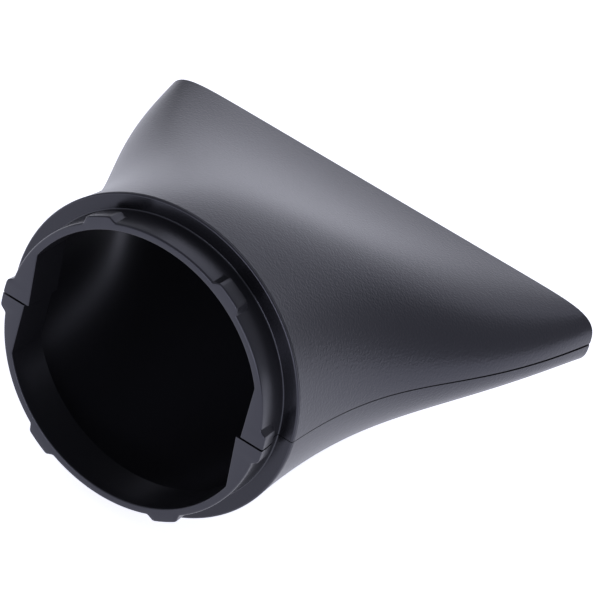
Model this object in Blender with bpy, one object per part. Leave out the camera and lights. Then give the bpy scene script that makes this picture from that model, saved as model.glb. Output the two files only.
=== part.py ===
"""Air concentrator nozzle for a hand hair dryer, moulded in two matching half shells.

The nozzle's axis is +Y, from the dryer towards the outlet, and +Z is the normal of the
parting plane. The origin is on the axis, at the front face of the flange. The lower half is
the same moulding as the upper one, turned half a turn about the axis.
Sizes are in millimetres and are scaled to metres when a mesh is made.
"""
import math

import bmesh
import bpy
import numpy as np
from mathutils import Matrix

MM = 0.001

# Collar: the short spigot that pushes into the dryer, with its flange.
SPIGOT_RADIUS = 24.0
SPIGOT_LENGTH = 5.7
BORE_RADIUS = 22.7
COLLAR_DEPTH = 2.0          # how far the round bore runs on behind the flange's face
FLANGE_RADIUS = 26.7
RIM_CHAMFER = 0.35
BORE_CHAMFER = 0.25
FLANGE_CHAMFER = 0.35

# Shell: from the round flange to the wide, flat outlet.
SHELL_LENGTH = 63.1
OUTLET_HALF_WIDTH = 42.4
OUTLET_HALF_HEIGHT = 5.15
OUTLET_CHAMFER = 0.3
WALL = 1.4

# Each section is x = side * cos(turn) ** p, z = top * sin(turn) ** q. Both powers are 1 at the
# flange, which makes a circle, and they fall to these at the outlet, which squares it.
SIDE_POWER = 0.126
TOP_POWER = 0.678
SQUARING = 1.44             # how late along the shell the powers fall
PINCH = 0.6                 # how far they rise first

# Handles of the two outline curves, as (distance along the axis, distance from the axis).
SIDE_HANDLES = ((31.8, FLANGE_RADIUS), (30.9, 36.8))
TOP_HANDLES = ((27.0, 22.7), (34.2, 12.5), (53.7, 7.4))

# Locking lugs round the spigot, 60 degrees apart.
LUG_SPACING = 60.0
LUG_HALF_ANGLE = 7.2        # half the lug's foot
LUG_TOP_HALF_ANGLE = 5.0
LUG_HEIGHT = 0.95
LUG_SETBACK = 0.1           # from the rim to the lug's front
LUG_BEVEL = 0.25
LUG_LENGTH = 3.2

# Webs inside the collar, beside the parting plane.
WEB_HEIGHT = 9.2
WEB_EDGE_LOW = 20.75        # distance from the axis to the edge of the plain web
WEB_EDGE_HIGH = 20.0        # the same for the web that holds the socket

# Joint between the halves: a lip in a recess along the shell, and a pin in a socket.
GAP = 0.3
LIP_START, LIP_END = 4.0, 60.5
LIP_HEIGHT = 0.8
LIP_THICKNESS = 0.55
LIP_SETBACK = 0.05          # from the wall's inner face to the lip's
PIN_X, PIN_Y = 22.3, -1.6
PIN_RADIUS = 0.7
PIN_LENGTH = 2.2

# Mesh resolution.
QUARTER_STEPS = 16          # points in a quarter of the shell's outline
SHELL_STEPS = 26            # sections along the shell
TURN_SHARE = 0.5            # share of those points spread by angle, the rest by length
ROUND_STEPS = 96            # segments in the collar's full circle

PLASTIC_COLOUR = (0.035, 0.036, 0.042, 1.0)
PLASTIC_ROUGHNESS = 0.5


def curve_radius(start, handles, end, along):
    """Distance from the axis, at a distance along it, on a Bezier curve."""
    t = np.linspace(0.0, 1.0, 401)
    points = (start, *handles, end)
    last = len(points) - 1
    weights = [math.comb(last, k) * (1 - t) ** (last - k) * t ** k for k in range(last + 1)]
    run = sum(w * p[0] for w, p in zip(weights, points))
    radius = sum(w * p[1] for w, p in zip(weights, points))
    return float(np.interp(along, run, radius))


def shell_section(along, inset):
    """Closed outline of the shell, moved inwards by inset: a list of (x, z)."""
    start = (FLANGE_CHAMFER, FLANGE_RADIUS)
    side = curve_radius(start, SIDE_HANDLES, (SHELL_LENGTH, OUTLET_HALF_WIDTH), along) - inset
    top = curve_radius(start, TOP_HANDLES, (SHELL_LENGTH, OUTLET_HALF_HEIGHT), along) - inset
    reach = min(along / SHELL_LENGTH, 1.0)
    rise = 1.0 + PINCH * reach * (1.0 - reach)
    fall = reach ** SQUARING

    turn = np.linspace(0.0, math.pi / 2, 241)
    x = np.append(side * np.cos(turn[:-1]) ** (rise - (1.0 - SIDE_POWER) * fall), 0.0)
    z = top * np.sin(turn) ** (rise - (1.0 - TOP_POWER) * fall)
    run = np.concatenate(([0.0], np.cumsum(np.hypot(np.diff(x), np.diff(z)))))
    share = (1 - TURN_SHARE) * run / run[-1] + TURN_SHARE * turn / turn[-1]
    steps = np.linspace(0.0, 1.0, QUARTER_STEPS + 1)
    quarter = list(zip(np.interp(steps, share, x), np.interp(steps, share, z)))
    half = quarter + [(-x, z) for x, z in reversed(quarter[:-1])]
    return half + [(x, -z) for x, z in reversed(half[1:-1])]


def mesh_object(name, vertices, faces):
    """An object made from points in millimetres."""
    mesh = bpy.data.meshes.new(name)
    mesh.from_pydata([(x * MM, y * MM, z * MM) for x, y, z in vertices], [], faces)
    bm = bmesh.new()
    bm.from_mesh(mesh)
    bmesh.ops.recalc_face_normals(bm, faces=bm.faces)
    bm.to_mesh(mesh)
    bm.free()
    obj = bpy.data.objects.new(name, mesh)
    bpy.context.collection.objects.link(obj)
    return obj


def skin(name, rings):
    """A closed solid through rings of equally many points, capped at both ends."""
    count = len(rings[0])
    faces = [tuple(range(count))]
    for i in range(len(rings) - 1):
        low, high = i * count, (i + 1) * count
        faces += [(low + k, low + (k + 1) % count, high + (k + 1) % count, high + k)
                  for k in range(count)]
    faces.append(tuple(range((len(rings) - 1) * count, len(rings) * count)))
    return mesh_object(name, [p for ring in rings for p in ring], faces)


def shell_solid(name, stations):
    """A solid through shell sections, given as (distance along the axis, inset)."""
    rings = [[(x, along, z) for x, z in shell_section(along, inset)]
             for along, inset in stations]
    return skin(name, rings)


def revolved(name, profile, steps=ROUND_STEPS):
    """A solid of revolution about Y from (distance along the axis, radius) points."""
    rings = []
    for along, radius in profile:
        angles = (2 * math.pi * k / steps for k in range(steps))
        rings.append([(radius * math.cos(a), along, radius * math.sin(a)) for a in angles])
    return skin(name, rings)


def block(name, low, high):
    """A box between two corners."""
    rings = [[(low[0], y, low[2]), (high[0], y, low[2]), (high[0], y, high[2]), (low[0], y, high[2])]
             for y in (low[1], high[1])]
    return skin(name, rings)


def combine(target, tool, operation):
    """Apply an exact boolean with a tool object, then remove the tool."""
    tool.hide_render = True
    tool.display_type = 'WIRE'
    modifier = target.modifiers.new(operation.lower(), 'BOOLEAN')
    modifier.operation = operation
    modifier.solver = 'EXACT'
    modifier.object = tool
    bpy.context.view_layer.objects.active = target
    bpy.ops.object.modifier_apply(modifier=modifier.name)
    bpy.data.objects.remove(tool)


def outer_body():
    """The shell's outer form, solid, with a small chamfer at the flange and the outlet."""
    along = np.linspace(FLANGE_CHAMFER, SHELL_LENGTH - OUTLET_CHAMFER, SHELL_STEPS)
    stations = [(0.0, FLANGE_CHAMFER), *((y, 0.0) for y in along), (SHELL_LENGTH, OUTLET_CHAMFER)]
    return shell_solid("outer_body", stations)


def spigot():
    """The solid spigot, sunk into the flange."""
    return revolved("spigot", [(-SPIGOT_LENGTH, SPIGOT_RADIUS - RIM_CHAMFER),
                               (-SPIGOT_LENGTH + RIM_CHAMFER, SPIGOT_RADIUS),
                               (COLLAR_DEPTH / 2, SPIGOT_RADIUS)])


def lug(angle):
    """One locking lug: bevelled in front, square behind, with sloped ends."""
    front = LUG_SETBACK - SPIGOT_LENGTH
    foot = SPIGOT_RADIUS - 0.6
    rings = []
    for offset, height in ((-LUG_HALF_ANGLE, 0.0), (-LUG_TOP_HALF_ANGLE, 1.0), (0.0, 1.0),
                           (LUG_TOP_HALF_ANGLE, 1.0), (LUG_HALF_ANGLE, 0.0)):
        turn = math.radians(angle + offset)
        top = SPIGOT_RADIUS - 0.1 + (LUG_HEIGHT + 0.1) * height
        shoulder = SPIGOT_RADIUS - 0.2 + (LUG_HEIGHT + 0.2 - LUG_BEVEL) * height
        profile = ((front, foot), (front, shoulder), (front + LUG_BEVEL, top),
                   (front + LUG_LENGTH, top), (front + LUG_LENGTH, foot))
        rings.append([(r * math.cos(turn), y, r * math.sin(turn)) for y, r in profile])
    return skin("lug", rings)


def collar_bore():
    """The round bore, flattened at both sides by the webs beside the parting plane."""
    web_angle = math.asin(WEB_HEIGHT / BORE_RADIUS)
    steps = ROUND_STEPS // 2
    outline = [(WEB_EDGE_LOW, -GAP)]
    for k in range(steps + 1):
        turn = web_angle + (math.pi - 2 * web_angle) * k / steps
        outline.append((BORE_RADIUS * math.cos(turn), BORE_RADIUS * math.sin(turn)))
    outline.append((-WEB_EDGE_HIGH, -GAP))
    ends = (-SPIGOT_LENGTH - 1.0, COLLAR_DEPTH + 0.5)
    return skin("collar_bore", [[(x, y, z) for x, z in outline] for y in ends])


def rim_edge():
    """The cone that breaks the bore's front edge."""
    front = -SPIGOT_LENGTH
    return revolved("rim_edge", [(front - 1.0, BORE_RADIUS + BORE_CHAMFER + 1.0),
                                 (front + BORE_CHAMFER + 1.0, BORE_RADIUS - 1.0)])


def duct_space():
    """The space inside the shell, open at the outlet."""
    along = np.linspace(COLLAR_DEPTH, SHELL_LENGTH, SHELL_STEPS)
    return shell_solid("duct_space", [*((y, WALL) for y in along), (SHELL_LENGTH + 2.0, WALL)])


def wall_band(name, insets, side, bottom, top, start, end):
    """A layer of one side wall, between two insets and two heights."""
    along = np.linspace(start, end, SHELL_STEPS)
    band = shell_solid(name, [(y, insets[0]) for y in along])
    hollow = [(y, insets[1]) for y in (start - 1.0, *along, end + 1.0)]
    combine(band, shell_solid("hollow", hollow), 'DIFFERENCE')
    reach = OUTLET_HALF_WIDTH + 5.0
    low_x, high_x = (0.0, reach) if side > 0 else (-reach, 0.0)
    window = block("window", (low_x, start - 5.0, bottom), (high_x, end + 5.0, top))
    combine(band, window, 'INTERSECT')
    return band


def joint_pin(radius, bottom, top, side):
    """A round pin along Z in one of the webs."""
    rings = []
    for z in (bottom, top):
        angles = (2 * math.pi * k / 24 for k in range(24))
        rings.append([(side * PIN_X + radius * math.cos(a), PIN_Y + radius * math.sin(a), z)
                      for a in angles])
    return skin("joint_pin", rings)


def half_shell(name):
    """The upper moulding: shell, flange, spigot, lugs, webs and the joint's details."""
    half = outer_body()
    combine(half, spigot(), 'UNION')
    for k in range(4):
        combine(half, lug(k * LUG_SPACING), 'UNION')
    combine(half, collar_bore(), 'DIFFERENCE')
    combine(half, rim_edge(), 'DIFFERENCE')
    combine(half, duct_space(), 'DIFFERENCE')

    reach = 100.0
    below = block("below", (-reach, -reach, -reach), (reach, reach, GAP / 2))
    combine(half, below, 'DIFFERENCE')
    lip_insets = (WALL - LIP_THICKNESS, WALL - LIP_SETBACK)
    lip = wall_band("lip", lip_insets, 1, -LIP_HEIGHT, 2.0, LIP_START, LIP_END)
    combine(half, lip, 'UNION')
    recess_insets = (WALL - LIP_THICKNESS - GAP, WALL + 1.0)
    recess = wall_band("recess", recess_insets, -1, -1.0, LIP_HEIGHT + GAP,
                       LIP_START - GAP, LIP_END + GAP)
    combine(half, recess, 'DIFFERENCE')
    combine(half, joint_pin(PIN_RADIUS, -PIN_LENGTH, 2.0, 1), 'UNION')
    combine(half, joint_pin(PIN_RADIUS + GAP, -1.0, PIN_LENGTH + GAP, -1), 'DIFFERENCE')

    half.name = half.data.name = name
    half.data.shade_smooth()
    half.data.set_sharp_from_angle(angle=math.radians(30.0))
    return half


def plastic(name):
    """Charcoal moulded plastic."""
    material = bpy.data.materials.new(name)
    material.use_nodes = True
    shader = material.node_tree.nodes["Principled BSDF"]
    shader.inputs["Base Color"].default_value = PLASTIC_COLOUR
    shader.inputs["Roughness"].default_value = PLASTIC_ROUGHNESS
    shader.inputs["Metallic"].default_value = 0.0
    return material


def main():
    for obj in list(bpy.data.objects):
        bpy.data.objects.remove(obj)

    upper = half_shell("upper_half_shell")
    upper.data.materials.append(plastic("upper_plastic"))

    lower = upper.copy()
    lower.data = upper.data.copy()
    lower.name = lower.data.name = "lower_half_shell"
    lower.data.transform(Matrix.Rotation(math.pi, 4, 'Y'))
    lower.data.materials.clear()
    lower.data.materials.append(plastic("lower_plastic"))
    bpy.context.collection.objects.link(lower)


main()
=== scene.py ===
"""The finished look of an air concentrator nozzle: two matching half shells on a pale floor.

The nozzle's axis is +Y, from the collar at the dryer's end to the flat outlet, and the two
mouldings meet on the plane z = 0. Each is one closed surface. It is a grid whose rows follow
the wall all the way round, from the outlet in along the duct, over the spigot's rim, back
along the spigot and out along the shell, and whose columns run across from one parting edge
to the other.
"""

import math

import bpy
import numpy as np
from bpy.props import FloatProperty, FloatVectorProperty, IntProperty, PointerProperty
from mathutils import Matrix, Vector


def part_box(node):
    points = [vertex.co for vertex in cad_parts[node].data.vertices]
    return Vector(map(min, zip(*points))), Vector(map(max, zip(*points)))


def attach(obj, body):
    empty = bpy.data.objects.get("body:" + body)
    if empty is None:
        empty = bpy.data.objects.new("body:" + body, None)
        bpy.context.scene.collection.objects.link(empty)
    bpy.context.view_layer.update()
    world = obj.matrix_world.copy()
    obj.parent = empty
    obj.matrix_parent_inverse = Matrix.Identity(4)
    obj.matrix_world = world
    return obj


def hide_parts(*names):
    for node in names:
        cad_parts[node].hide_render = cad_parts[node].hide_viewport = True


bl_info = {
    "name": "Concentrator Nozzle",
    "version": (1, 0, 0),
    "blender": (4, 5, 0),
    "location": "View3D > Sidebar > Nozzle",
    "description": "Builds a two-piece air concentrator nozzle around its engineering model",
    "category": "Add Mesh",
}

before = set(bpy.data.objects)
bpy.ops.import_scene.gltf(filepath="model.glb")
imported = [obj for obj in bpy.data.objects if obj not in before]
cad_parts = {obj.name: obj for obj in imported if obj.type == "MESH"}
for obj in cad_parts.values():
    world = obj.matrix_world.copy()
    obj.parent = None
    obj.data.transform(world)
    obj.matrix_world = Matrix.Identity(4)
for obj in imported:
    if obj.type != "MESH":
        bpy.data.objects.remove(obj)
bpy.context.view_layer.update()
UPPER_NODE = "upper_half_shell"
LOWER_NODE = "lower_half_shell"
UPPER_LOW, UPPER_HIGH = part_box(UPPER_NODE)
LOWER_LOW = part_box(LOWER_NODE)[0]

# Material slots of each half shell.
GRAINED, SATIN, FLANGE = range(3)

# How finely curves are worked out before the rows and columns are laid along them.
CURVE_STEPS = 801
SECTION_STEPS = 961
# Angles of the rows that round off an edge.
ROUNDING = np.linspace(0.0, math.pi / 2, 6)
# Rows along the bore, and along the spigot behind its lugs.
BORE_ROWS = 5
SPIGOT_ROWS = 4
# Edges that bend more than this stay sharp.
SHARP_ANGLE = math.radians(24.0)
# The least cosine used for a web's plane, far past the place where the bore takes over.
LEAST_COSINE = 0.2

# Along a lug's top: a share of its length, and the share of its slope's fall reached there.
LUG_FALL = ((0.4, 0.3), (0.8, 0.8), (0.94, 1.0))
# How far a lug's back edge lies below its top, and how far the back leans.
LUG_BACK_EDGE = 0.0003
LUG_BACK_LEAN = 0.00004
# Share of the fine line's width that each of its two sides takes.
LINE_SIDE = 0.35

FLOOR_REACH = 6.0
FLOOR_ROUGHNESS = 0.9
SENSOR_WIDTH = 36.0
CAMERA_RANGE = (0.05, 50.0)
GRAIN_DETAIL = 2.0
# Each soft light: name, place, width and height in metres, and power in watts.
LIGHTS = (
    ("overhead_light", (-0.2, 1.0, 1.1), (1.0, 0.8), 2.2),
    ("back_light", (-0.25, 1.9, 0.40), (2.2, 0.9), 4.0),
    ("front_light", (0.4, -1.7, 0.12), (2.0, 0.28), 12.0),
)


def length(name, description, default):
    """A property that holds a length in metres."""
    return FloatProperty(name=name, description=description, default=default, min=0.0,
                         unit='LENGTH', precision=5)


def angle(name, description, degrees):
    """A property that holds an angle."""
    return FloatProperty(name=name, description=description, default=math.radians(degrees),
                         unit='ROTATION')


def colour(name, description, default):
    """A property that holds a linear colour."""
    return FloatVectorProperty(name=name, description=description, default=default,
                               subtype='COLOR', size=3, min=0.0, max=1.0)


class NozzleShellSettings(bpy.types.PropertyGroup):
    """Sizes of the shell, from the flange to the outlet."""
    flange_radius: length("Flange radius", "Radius of the flange", UPPER_HIGH.z)
    end: length("Length", "From the flange's face to the outlet", UPPER_HIGH.y)
    half_width: length("Half width", "Half the outlet's width", 0.0424)
    half_height: length("Half height", "Half the outlet's height", 0.00515)
    side_lead: length("Side lead", "Straight lead of the side outline", 0.0318)
    side_turn: length("Side turn", "Distance of its second handle", 0.0309)
    side_reach: length("Side reach", "Half width at its second handle", 0.0368)
    top_lead: length("Top lead", "Distance of the top outline's first handle", 0.0270)
    top_lead_height: length("Top lead height", "Height at its first handle", 0.0227)
    top_fall: length("Top fall", "Distance of its second handle", 0.0342)
    top_fall_height: length("Top fall height", "Height at its second handle", 0.0125)
    top_level: length("Top level", "Distance of its third handle", 0.0537)
    top_level_height: length("Top level height", "Height at its third handle", 0.0074)
    side_power: FloatProperty(name="Side power", default=0.126, min=0.05, max=1.0,
                              description="Power that squares the outlet's width")
    top_power: FloatProperty(name="Top power", default=0.678, min=0.05, max=1.0,
                             description="Power that squares the outlet's height")
    squaring: FloatProperty(name="Squaring", default=1.44, min=0.5,
                            description="How late along the shell the sections grow square")
    pinch: FloatProperty(name="Pinch", default=0.6, min=0.0,
                         description="How far the sections first turn inwards")
    wall: length("Wall", "Thickness of the shell's wall", 0.0014)
    edge: length("Edge", "Rounding of the flange and the outlet", 0.00030)
    inner_edge: length("Inner edge", "Chamfer on the outlet's inner edge", 0.0002)
    line_width: length("Line width", "Width of the fine line behind the flange", 0.00030)
    line_depth: length("Line depth", "Depth of that line", 0.00006)
    gap_outlet: length("Gap at the outlet", "Open joint between the halves at the outlet", 0.00042)
    gap_middle: length("Gap in the middle", "Open joint halfway along the shell", 0.00022)
    gap_collar: length("Gap at the collar", "Open joint at the flange", 0.00014)
    gap_rim: length("Gap at the rim", "Open joint at the spigot's rim", 0.00036)
    gap_inside: length("Gap inside", "Open joint on the inner side of the wall", 0.00002)
    gap_mouth: length("Gap's mouth", "How far into the bore the joint stays open", 0.0009)


class NozzleCollarSettings(bpy.types.PropertyGroup):
    """Sizes of the collar that pushes into the dryer."""
    front: length("Spigot length", "From the flange's face to the rim", -UPPER_LOW.y)
    spigot_radius: length("Spigot radius", "Outer radius of the spigot", 0.0240)
    bore_radius: length("Bore radius", "Inner radius of the spigot", 0.0227)
    depth: length("Bore depth", "How far the bore runs on behind the flange's face", 0.0020)
    step_edge: length("Step edge", "Chamfer at the step between the bore and the duct", 0.00015)
    rim_edge: length("Rim edge", "Radius of the rim's outer edge", 0.00035)
    bore_edge: length("Bore edge", "Radius of the rim's inner edge", 0.00025)
    fillet: length("Fillet", "Radius between the spigot and the flange", 0.00020)
    web_height: length("Web height", "Height of the webs beside the joint", 0.0092)
    web_low: length("Thin web", "From the axis to the thinner web", 0.02075)
    web_high: length("Thick web", "From the axis to the thicker web, at the joint", 0.0200)
    lug_height: length("Lug height", "How far a lug stands out of the spigot", 0.00095)
    lug_length: length("Lug length", "From the rim to a lug's back", 0.0032)
    lug_edge: length("Lug edge", "Radius of a lug's front edge", 0.00025)
    lug_slope: length("Lug slope", "How far a lug's top falls towards its back", 0.00020)
    lug_foot: angle("Lug foot", "Half the angle of a lug's foot", 7.2)
    lug_top: angle("Lug top", "Half the angle of a lug's top", 5.0)
    lug_spacing: angle("Lug spacing", "Angle from one lug to the next", 60.0)


class NozzleMeshSettings(bpy.types.PropertyGroup):
    """How finely the surfaces are divided."""
    columns: IntProperty(name="Columns", default=240, min=24,
                         description="Steps from one parting edge to the other")
    shell_rows: IntProperty(name="Shell rows", default=80, min=8,
                            description="Steps along the shell's outside")
    duct_rows: IntProperty(name="Duct rows", default=40, min=8,
                           description="Steps along the duct inside")


class NozzlePlasticSettings(bpy.types.PropertyGroup):
    """Colour and finish of the moulded plastic, with painted shade in the darker bases of the duct,
    the collar and the flange's face.
    """
    colour: colour("Colour", "Charcoal of the moulded plastic", (0.0155, 0.0155, 0.0185))
    # Darker base than the outside's: painted shade on the duct and the collar, which are the same
    # plastic as the outside.
    shaded_inside_colour: colour("Inside colour", "Plastic of the duct and the collar",
                          (0.0100, 0.0100, 0.0120))
    # Near-black base of the flange's face: painted shade, far darker than the plastic itself.
    shaded_flange_colour: colour("Flange colour", "Plastic of the flange's face",
                          (0.0040, 0.0040, 0.0050))
    sheen: colour("Sheen", "Tint of the plastic's reflections", (0.83, 0.84, 1.00))
    gloss: FloatProperty(name="Gloss", default=0.54, min=0.0, max=1.0,
                         description="Strength of the plastic's reflections")
    grain_roughness: FloatProperty(name="Grained roughness", default=0.33, min=0.0, max=1.0,
                                   description="Roughness of the textured outside")
    satin_roughness: FloatProperty(name="Satin roughness", default=0.28, min=0.0, max=1.0,
                                   description="Roughness of the spigot and the duct")
    flange_roughness: FloatProperty(name="Flange roughness", default=0.22, min=0.0, max=1.0,
                                    description="Roughness of the flange's face")
    flange_gloss: FloatProperty(name="Flange gloss", default=0.45, min=0.0, max=1.0,
                                description="Strength of the reflections on the flange's face")
    grain_size: length("Grain size", "Size of one grain of the mould's texture", 0.00040)
    grain_depth: length("Grain depth", "Depth of the mould's texture", 0.000055)
    smooth_grain: FloatProperty(name="Smooth grain", default=0.1, min=0.0, max=1.0,
                                description="Share of that depth on the satin and flange finishes")


class NozzleStageSettings(bpy.types.PropertyGroup):
    """Floor, light and camera."""
    floor_colour: colour("Floor colour", "Pale floor", (0.90, 0.90, 0.90))
    light_colour: colour("Light colour", "Cool white of the studio's light", (0.88, 0.89, 1.00))
    floor_glow: FloatProperty(name="Floor glow", default=0.96, min=0.0,
                              description="Light that comes up through the floor")
    sky: FloatProperty(name="Sky", default=0.42, min=0.0,
                       description="Strength of the even light from all round")
    camera_turn: angle("Camera turn", "Camera's angle round the nozzle", 25.47)
    camera_rise: angle("Camera rise", "Camera's angle above the parting plane", 33.16)
    camera_roll: angle("Camera roll", "Camera's roll, right side up", 16.46)
    camera_distance: length("Camera distance", "From the aim point to the camera", 0.8286)
    lens: FloatProperty(name="Lens", description="Focal length in millimetres",
                        default=317.2, min=10.0)
    aim: FloatVectorProperty(name="Aim", description="Point the camera looks at",
                             default=(0.0060, 0.0319, 0.0005), subtype='TRANSLATION', size=3)


def bezier(points, along):
    """Distance from the axis, at a distance along it, on the Bezier curve with these handles."""
    t = np.linspace(0.0, 1.0, CURVE_STEPS)
    last = len(points) - 1
    weights = [math.comb(last, k) * (1 - t) ** (last - k) * t ** k for k in range(last + 1)]
    run = sum(w * p[0] for w, p in zip(weights, points))
    reach = sum(w * p[1] for w, p in zip(weights, points))
    return np.interp(along, run, reach)


def shell_ring(shell, along, inset, turns):
    """One row of the shell: points from the right parting edge over the top to the left one."""
    start = (shell.edge, shell.flange_radius)
    side = bezier((start, (shell.side_lead, shell.flange_radius),
                   (shell.side_turn, shell.side_reach), (shell.end, shell.half_width)), along) - inset
    top = bezier((start, (shell.top_lead, shell.top_lead_height),
                  (shell.top_fall, shell.top_fall_height), (shell.top_level, shell.top_level_height),
                  (shell.end, shell.half_height)), along) - inset
    reach = min(along / shell.end, 1.0)
    rise = 1.0 + shell.pinch * reach * (1.0 - reach)
    fall = reach ** shell.squaring

    quarter = np.linspace(0.0, math.pi / 2, SECTION_STEPS)
    x = np.append(side * np.cos(quarter[:-1]) ** (rise - (1.0 - shell.side_power) * fall), 0.0)
    z = top * np.sin(quarter) ** (rise - (1.0 - shell.top_power) * fall)
    run = np.concatenate(([0.0], np.cumsum(np.hypot(np.diff(x), np.diff(z)))))
    share = (run / run[-1] + quarter / quarter[-1]) / 2
    place = np.minimum(turns, math.pi - turns) / (math.pi / 2)
    mirror = np.where(turns <= math.pi / 2, 1.0, -1.0)
    return np.stack((np.interp(place, share, x) * mirror, np.full_like(turns, along),
                     np.interp(place, share, z)), axis=1)


def round_ring(along, radii, turns):
    """One row of the collar, at a radius for each column."""
    return np.stack((radii * np.cos(turns), np.full_like(turns, along),
                     radii * np.sin(turns)), axis=1)


def bore_radii(collar, turns):
    """Radius of the bore: round, and flattened by the webs beside the two parting edges."""
    slant = (collar.web_low - collar.web_high) / collar.web_height
    right = collar.web_low / np.clip(np.cos(turns), LEAST_COSINE, 1.0)
    back = math.pi - turns
    left = collar.web_high / np.clip(np.cos(back) - slant * np.sin(back), LEAST_COSINE, 1.0)
    return np.minimum(collar.bore_radius, np.where(turns < math.pi / 2, right, left))


def lug_share(collar, turns):
    """How much of a lug each column carries, from 0 between the lugs to 1 on their tops."""
    nearest = np.round(turns / collar.lug_spacing) * collar.lug_spacing
    share = (collar.lug_foot - np.abs(turns - nearest)) / (collar.lug_foot - collar.lug_top)
    return np.clip(share, 0.0, 1.0)


def eased(run, edge):
    """How far a rounded edge lies below its surface, at a distance in from its front."""
    return edge - math.sqrt(edge ** 2 - (edge - min(run, edge)) ** 2)


def spigot_rows(collar, turns):
    """Rows from the rim's front, back along the spigot and over its lugs, to the flange."""
    share = lug_share(collar, turns)
    radius, back = collar.spigot_radius, collar.lug_length
    top = radius + collar.lug_height
    profile = []
    for turn in ROUNDING:
        run = collar.rim_edge * (1 - math.cos(turn))
        profile.append((run, radius - eased(run, collar.rim_edge), top - eased(run, collar.lug_edge)))
    for along, drop in LUG_FALL:
        profile.append((back * along, radius, top - collar.lug_slope * drop))
    profile.append((back, radius, top - collar.lug_slope - LUG_BACK_EDGE))
    profile.append((back + LUG_BACK_LEAN, radius, radius))
    straight = collar.front - collar.fillet
    for k in range(1, SPIGOT_ROWS + 1):
        profile.append((back + (straight - back) * k / SPIGOT_ROWS, radius, radius))
    for turn in ROUNDING[1:]:
        reach = radius + collar.fillet * (1 - math.cos(turn))
        profile.append((straight + collar.fillet * math.sin(turn), reach, reach))
    return [round_ring(run - collar.front, plain + (lug - plain) * share, turns)
            for run, plain, lug in profile]


def moulding_grid(shell, collar, divisions):
    """Rows of points round the wall, the finish after each, and how many lie on the inside."""
    turns = np.linspace(0.0, math.pi, divisions.columns + 1)
    bore = bore_radii(collar, turns)
    rows, finishes = [], []

    def add(row, finish):
        rows.append(row)
        finishes.append(finish)

    add(shell_ring(shell, shell.end, shell.wall - shell.inner_edge, turns), SATIN)
    for along in np.linspace(shell.end - shell.inner_edge, collar.depth, divisions.duct_rows):
        add(shell_ring(shell, along, shell.wall, turns), SATIN)
    add(round_ring(collar.depth, bore + collar.step_edge, turns), SATIN)
    for along in np.linspace(collar.depth - collar.step_edge, collar.bore_edge - collar.front,
                             BORE_ROWS):
        add(round_ring(along, bore, turns), SATIN)
    for turn in ROUNDING[1:]:
        inward = collar.bore_edge * (1 - math.sin(turn))
        add(round_ring(inward - collar.front, bore + collar.bore_edge * (1 - math.cos(turn)), turns),
            SATIN)
    inside = len(rows)
    *spigot, foot = spigot_rows(collar, turns)
    for row in spigot:
        add(row, SATIN)
    add(foot, FLANGE)
    for turn in ROUNDING[:-1]:
        radius = shell.flange_radius - shell.edge * (1 - math.sin(turn))
        add(round_ring(shell.edge * (1 - math.cos(turn)), np.full_like(turns, radius), turns), SATIN)
    land = shell.edge + shell.line_width
    side = shell.line_width * LINE_SIDE
    for along, depth in ((shell.edge, 0.0), (shell.edge + side, shell.line_depth),
                         (land - side, shell.line_depth), (land, 0.0)):
        add(shell_ring(shell, along, depth, turns), SATIN if depth else GRAINED)
    for along in np.linspace(land, shell.end - shell.edge, divisions.shell_rows)[1:]:
        add(shell_ring(shell, along, 0.0, turns), GRAINED)
    add(shell_ring(shell, shell.end, shell.edge, turns), GRAINED)
    return np.array(rows), finishes, inside


def open_joint(rows, inside, shell, collar):
    """Draw each row in from the parting plane by half the open joint's width there."""
    along = rows[:, :, 1]
    half_gap = np.interp(along, (-collar.front, 0.0, shell.end / 2, shell.end),
                         (shell.gap_rim, shell.gap_collar, shell.gap_middle, shell.gap_outlet)) / 2
    mouth = (-collar.front, shell.gap_mouth - collar.front)
    half_gap[:inside] = np.interp(along[:inside], mouth, (shell.gap_rim, shell.gap_inside)) / 2
    tops = rows[:, :, 2].max(axis=1, keepdims=True)
    rows[:, :, 2] = half_gap + rows[:, :, 2] * (1 - half_gap / tops)
    return rows


def moulding_mesh(context, name):
    """The mesh of one half shell, as moulded, with its joint facing down."""
    settings = context.scene.nozzle
    rows, finishes, inside = moulding_grid(settings.shell, settings.collar, settings.divisions)
    rows = open_joint(rows, inside, settings.shell, settings.collar)
    count, width = rows.shape[:2]
    faces, finish_of = [], []
    for i in range(count):
        here, there = i * width, (i + 1) % count * width
        faces += [(here + k, here + k + 1, there + k + 1, there + k) for k in range(width - 1)]
        finish_of += [finishes[i]] * (width - 1)
    faces.append(tuple(i * width for i in reversed(range(count))))
    faces.append(tuple(i * width + width - 1 for i in range(count)))
    finish_of += [SATIN, SATIN]

    mesh = bpy.data.meshes.new(name)
    mesh.from_pydata(rows.reshape(-1, 3).tolist(), [], faces)
    mesh.polygons.foreach_set("material_index", finish_of)
    mesh.update()
    mesh.shade_smooth()
    mesh.set_sharp_from_angle(angle=SHARP_ANGLE)
    return mesh


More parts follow.
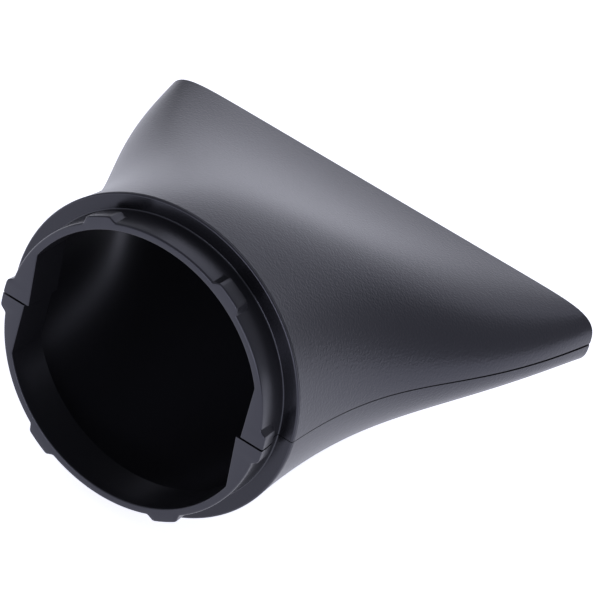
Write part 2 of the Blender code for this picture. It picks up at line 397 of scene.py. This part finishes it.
def moulded_plastic(name, colour, tint, roughness, gloss, grain_size, grain_depth):
    """Plastic from a mould whose surface has a fine, even grain."""
    material = bpy.data.materials.new(name)
    material.use_nodes = True
    tree = material.node_tree
    shader = tree.nodes["Principled BSDF"]
    shader.inputs["Base Color"].default_value = (*colour, 1.0)
    shader.inputs["Roughness"].default_value = roughness
    shader.inputs["Specular IOR Level"].default_value = gloss
    shader.inputs["Specular Tint"].default_value = (*tint, 1.0)
    place = tree.nodes.new("ShaderNodeTexCoord")
    grain = tree.nodes.new("ShaderNodeTexNoise")
    grain.inputs["Scale"].default_value = 1.0 / grain_size
    grain.inputs["Detail"].default_value = GRAIN_DETAIL
    bump = tree.nodes.new("ShaderNodeBump")
    bump.inputs["Strength"].default_value = 1.0
    bump.inputs["Distance"].default_value = grain_depth
    tree.links.new(place.outputs["Object"], grain.inputs["Vector"])
    tree.links.new(grain.outputs["Fac"], bump.inputs["Height"])
    tree.links.new(bump.outputs["Normal"], shader.inputs["Normal"])
    return material


def add_finishes(mesh, name, plastic):
    """Give a mesh its three finishes, in the order of GRAINED, SATIN and FLANGE; the satin and flange
    bases are darkened as painted shade.
    """
    deep = plastic.grain_depth
    faint = deep * plastic.smooth_grain
    finishes = (
        ("_grained", plastic.colour, plastic.grain_roughness, plastic.gloss, deep),
        ("_satin", plastic.shaded_inside_colour, plastic.satin_roughness, plastic.gloss, faint),
        ("_flange", plastic.shaded_flange_colour, plastic.flange_roughness, plastic.flange_gloss, faint),
    )
    for ending, base, roughness, gloss, depth in finishes:
        mesh.materials.append(moulded_plastic(name + ending, base, plastic.sheen, roughness, gloss,
                                              plastic.grain_size, depth))


def add_half_shell(context, name, node, half_turn):
    """Build one half shell and put it in the place of its engineering part."""
    mesh = moulding_mesh(context, name)
    if half_turn:
        mesh.transform(Matrix.Rotation(math.pi, 4, 'Y'))
    add_finishes(mesh, name, context.scene.nozzle.plastic)
    piece = bpy.data.objects.new(name, mesh)
    context.scene.collection.objects.link(piece)
    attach(piece, "root")
    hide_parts(node)


class NozzleUpperShell(bpy.types.Operator):
    """Build the upper half shell"""
    bl_idname = "nozzle.upper_shell"
    bl_label = "Upper Half Shell"

    def execute(self, context):
        add_half_shell(context, "upper_shell", UPPER_NODE, False)
        return {'FINISHED'}


class NozzleLowerShell(bpy.types.Operator):
    """Build the lower half shell, the same moulding turned half a turn"""
    bl_idname = "nozzle.lower_shell"
    bl_label = "Lower Half Shell"

    def execute(self, context):
        add_half_shell(context, "lower_shell", LOWER_NODE, True)
        return {'FINISHED'}


def area_light(context, name, place, size, power):
    """A rectangular soft light that faces the nozzle."""
    data = bpy.data.lights.new(name, 'AREA')
    data.shape = 'RECTANGLE'
    data.size, data.size_y = size
    data.energy = power
    data.color = context.scene.nozzle.stage.light_colour
    lamp = bpy.data.objects.new(name, data)
    lamp.location = place
    lamp.visible_camera = False
    towards = Vector((0.0, UPPER_HIGH.y / 2, 0.0)) - lamp.location
    lamp.rotation_euler = towards.to_track_quat('-Z', 'Y').to_euler()
    context.scene.collection.objects.link(lamp)


def add_floor(context, stage):
    """A wide pale floor under the nozzle."""
    reach = FLOOR_REACH
    height = LOWER_LOW.z
    mesh = bpy.data.meshes.new("floor")
    mesh.from_pydata([(-reach, -reach, height), (reach, -reach, height),
                      (reach, reach, height), (-reach, reach, height)], [], [(0, 1, 2, 3)])
    material = bpy.data.materials.new("pale_floor")
    material.use_nodes = True
    shader = material.node_tree.nodes["Principled BSDF"]
    shader.inputs["Base Color"].default_value = (*stage.floor_colour, 1.0)
    shader.inputs["Roughness"].default_value = FLOOR_ROUGHNESS
    shader.inputs["Emission Color"].default_value = (*stage.light_colour, 1.0)
    shader.inputs["Emission Strength"].default_value = stage.floor_glow
    mesh.materials.append(material)
    floor = bpy.data.objects.new("floor", mesh)
    context.scene.collection.objects.link(floor)


def add_camera(context, stage):
    """The camera, turned round the aim point, raised and rolled."""
    turn, rise = stage.camera_turn, stage.camera_rise
    away = Vector((math.sin(turn) * math.cos(rise), -math.cos(turn) * math.cos(rise), math.sin(rise)))
    level = Vector((math.cos(turn), math.sin(turn), 0.0))
    upward = away.cross(level)
    right = math.cos(stage.camera_roll) * level + math.sin(stage.camera_roll) * upward
    data = bpy.data.cameras.new("camera")
    data.lens = stage.lens
    data.sensor_width = SENSOR_WIDTH
    data.clip_start, data.clip_end = CAMERA_RANGE
    camera = bpy.data.objects.new("camera", data)
    turned = Matrix((right, away.cross(right), away)).transposed().to_4x4()
    camera.matrix_world = Matrix.Translation(Vector(stage.aim) + away * stage.camera_distance) @ turned
    context.scene.collection.objects.link(camera)
    context.scene.camera = camera


class NozzleStage(bpy.types.Operator):
    """Lay the floor and set the light and the camera"""
    bl_idname = "nozzle.stage"
    bl_label = "Stage"

    def execute(self, context):
        stage = context.scene.nozzle.stage
        add_floor(context, stage)
        add_camera(context, stage)
        world = bpy.data.worlds.new("studio")
        world.use_nodes = True
        world.node_tree.nodes["Background"].inputs["Color"].default_value = (*stage.light_colour, 1.0)
        world.node_tree.nodes["Background"].inputs["Strength"].default_value = stage.sky
        context.scene.world = world
        context.scene.view_settings.view_transform = 'Standard'
        for light in LIGHTS:
            area_light(context, *light)
        return {'FINISHED'}


class NozzlePanel(bpy.types.Panel):
    """Lists the steps that build the nozzle"""
    bl_idname = "VIEW3D_PT_nozzle"
    bl_label = "Concentrator Nozzle"
    bl_space_type = 'VIEW_3D'
    bl_region_type = 'UI'
    bl_category = "Nozzle"

    def draw(self, context):
        for step in STEPS:
            self.layout.operator(step.bl_idname)


class NozzleSettings(bpy.types.PropertyGroup):
    """All settings of the nozzle and its stage."""
    shell: PointerProperty(type=NozzleShellSettings)
    collar: PointerProperty(type=NozzleCollarSettings)
    divisions: PointerProperty(type=NozzleMeshSettings)
    plastic: PointerProperty(type=NozzlePlasticSettings)
    stage: PointerProperty(type=NozzleStageSettings)


STEPS = (NozzleUpperShell, NozzleLowerShell, NozzleStage)
CLASSES = (NozzleShellSettings, NozzleCollarSettings, NozzleMeshSettings, NozzlePlasticSettings,
           NozzleStageSettings, NozzleSettings, *STEPS, NozzlePanel)


def register():
    """Register the classes and hang the settings on the scene."""
    for cls in CLASSES:
        bpy.utils.register_class(cls)
    bpy.types.Scene.nozzle = PointerProperty(type=NozzleSettings)


def unregister():
    """Undo what register does."""
    del bpy.types.Scene.nozzle
    for cls in reversed(CLASSES):
        bpy.utils.unregister_class(cls)


def main():
    """Build the nozzle and its stage."""
    register()
    bpy.ops.nozzle.upper_shell()
    bpy.ops.nozzle.lower_shell()
    bpy.ops.nozzle.stage()


if __name__ == "__main__":
    main()
